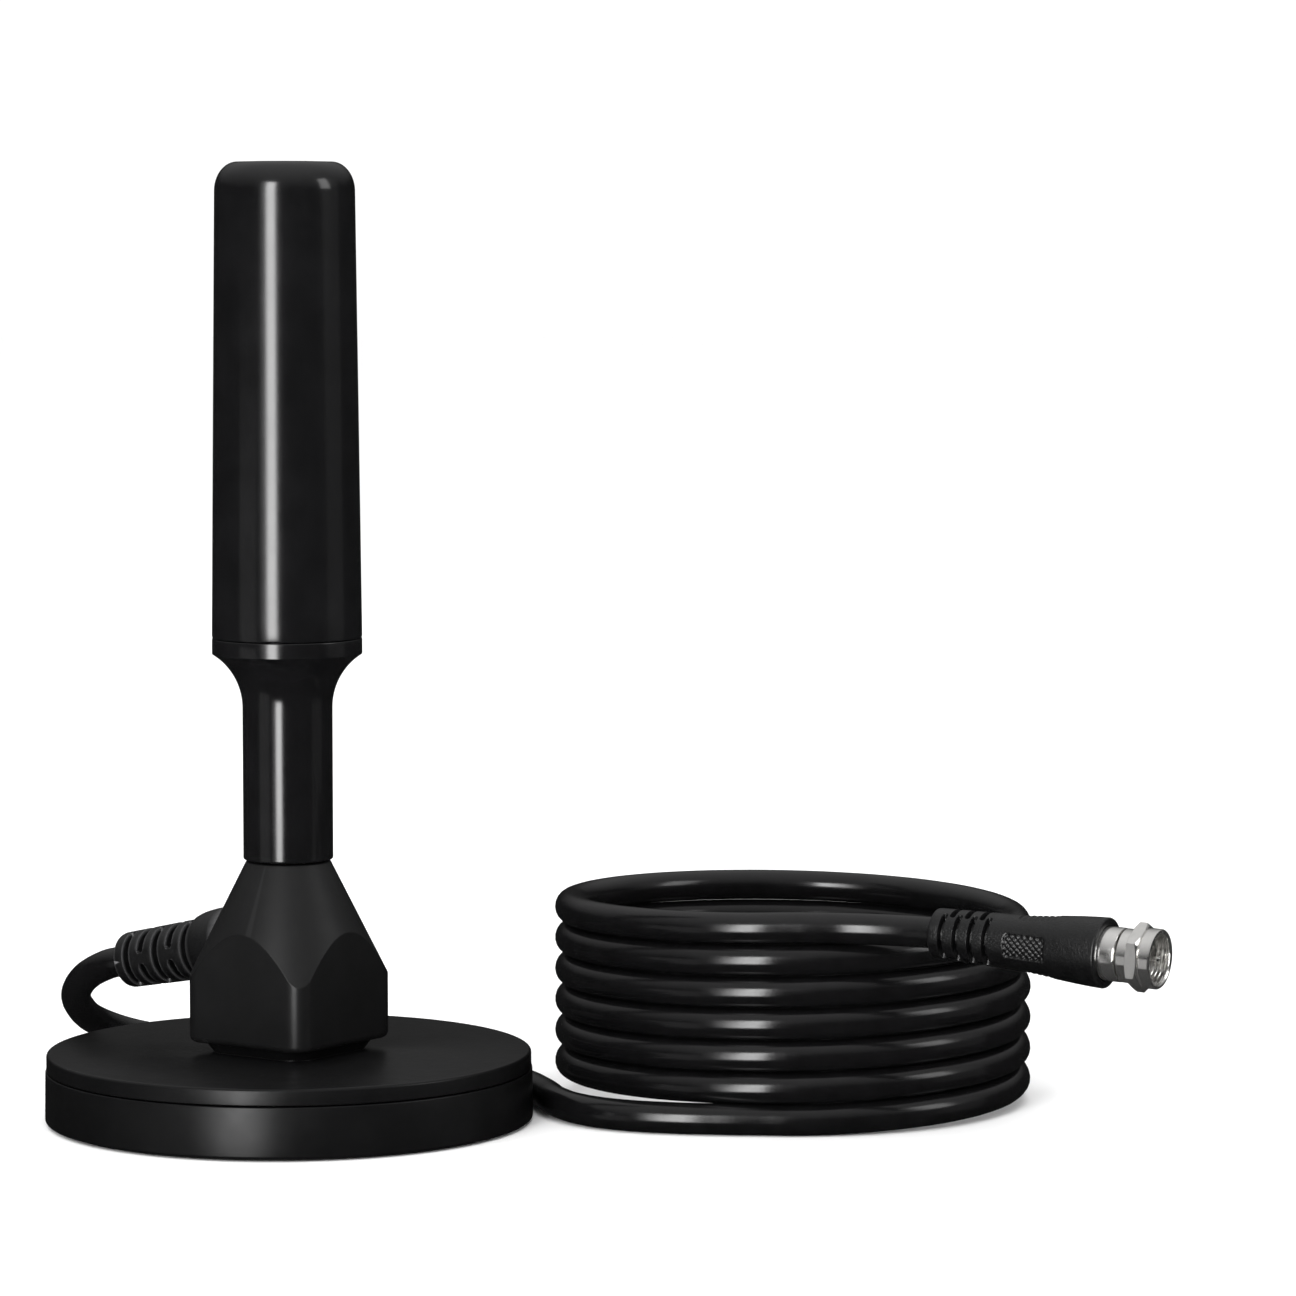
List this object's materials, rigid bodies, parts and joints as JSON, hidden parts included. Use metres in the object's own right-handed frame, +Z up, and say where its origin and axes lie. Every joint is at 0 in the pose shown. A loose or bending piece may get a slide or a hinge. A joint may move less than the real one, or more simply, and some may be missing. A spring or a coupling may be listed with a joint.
{
  "type": "omnidirectional antenna",
  "caption": "Indoor omnidirectional antenna: tall radome on a flared mast that screws off a square boss and magnetic base, with a coiled coaxial lead and F plug.",
  "frame": {"origin": "middle of the underside of the foot pad, on the surface the antenna stands on", "axes": "+Z up along the mast; -Y is the front; +X is the side where the coil of cable stands"},
  "size_m": [0.2087, 0.1215, 0.1793],
  "materials": {
    "radome_gloss": "polished black plastic",
    "neck_gloss": "polished black plastic",
    "boss_satin": "satin black plastic",
    "base_satin": "satin black plastic",
    "foot_rubber": "matt black rubber",
    "seal_rubber": "matt black rubber",
    "relief_rubber": "grained dark grey",
    "plug_rubber": "grained dark grey",
    "cord_pvc": "smooth black jacket",
    "nickel": "bright nickel plate",
    "steel": "zinc plated",
    "ferrite": "sintered ferrite",
    "brass": "turned brass",
    "copper": "bare copper",
    "board_green": "solder mask",
    "chip_ceramic": "ceramic",
    "white_plastic": "natural white"
  },
  "bodies": {
    "base": {"foot_pad": "foot_rubber", "base_shell": "base_satin", "base_cover": "base_satin", "magnet_ring": "ferrite", "steel_plate": "steel", "base_screw_1": "steel", "base_screw_2": "steel", "base_screw_3": "steel", "boss_housing": "boss_satin", "boss_screw_1": "steel", "boss_screw_2": "steel", "mast_socket": "brass", "socket_tag": "brass", "strain_relief": "relief_rubber", "coax_end": "cord_pvc", "coax_braid": "copper", "cable_clamp": "nickel", "match_board": "board_green", "balun_core": "ferrite", "chip_capacitor_1": "chip_ceramic", "chip_capacitor_2": "chip_ceramic", "coax_lead": "cord_pvc", "coax_coil": "cord_pvc", "coax_tail": "cord_pvc", "plug_boot": "plug_rubber", "f_body": "nickel", "f_mandrel": "nickel", "f_dielectric": "white_plastic", "centre_pin": "nickel"},
    "nut": {"f_nut": "nickel"},
    "seal": {"neck_seal": "seal_rubber"},
    "mast": {"mast_neck": "neck_gloss", "mast_stud": "brass", "stud_nut": "brass", "feed_wire": "copper", "former_base": "white_plastic", "coil_former": "white_plastic", "radiator_coil": "copper", "top_pad": "seal_rubber", "radome": "radome_gloss"}
  },
  "joints": [
    {"name": "mast_lift", "type": "slide", "parent": "base", "child": "seal", "axis": [0, 0, 1], "range_m": [0, 0.00905]},
    {"name": "mast_turn", "type": "hinge", "parent": "seal", "child": "mast", "pos_m": [0, 0, 0.0489], "axis": [0, 0, 1], "range_deg": [0, 3240]},
    {"name": "nut_spin", "type": "hinge", "parent": "base", "child": "nut", "pos_m": [0.12021, -0.02431, 0.0386], "axis": [0.8697, -0.492, -0.0401], "continuous": true}
  ],
  "couplings": [
    {"joint": "mast_lift", "follows": "mast_turn", "m_per_rad": 0.00015915}
  ]
}
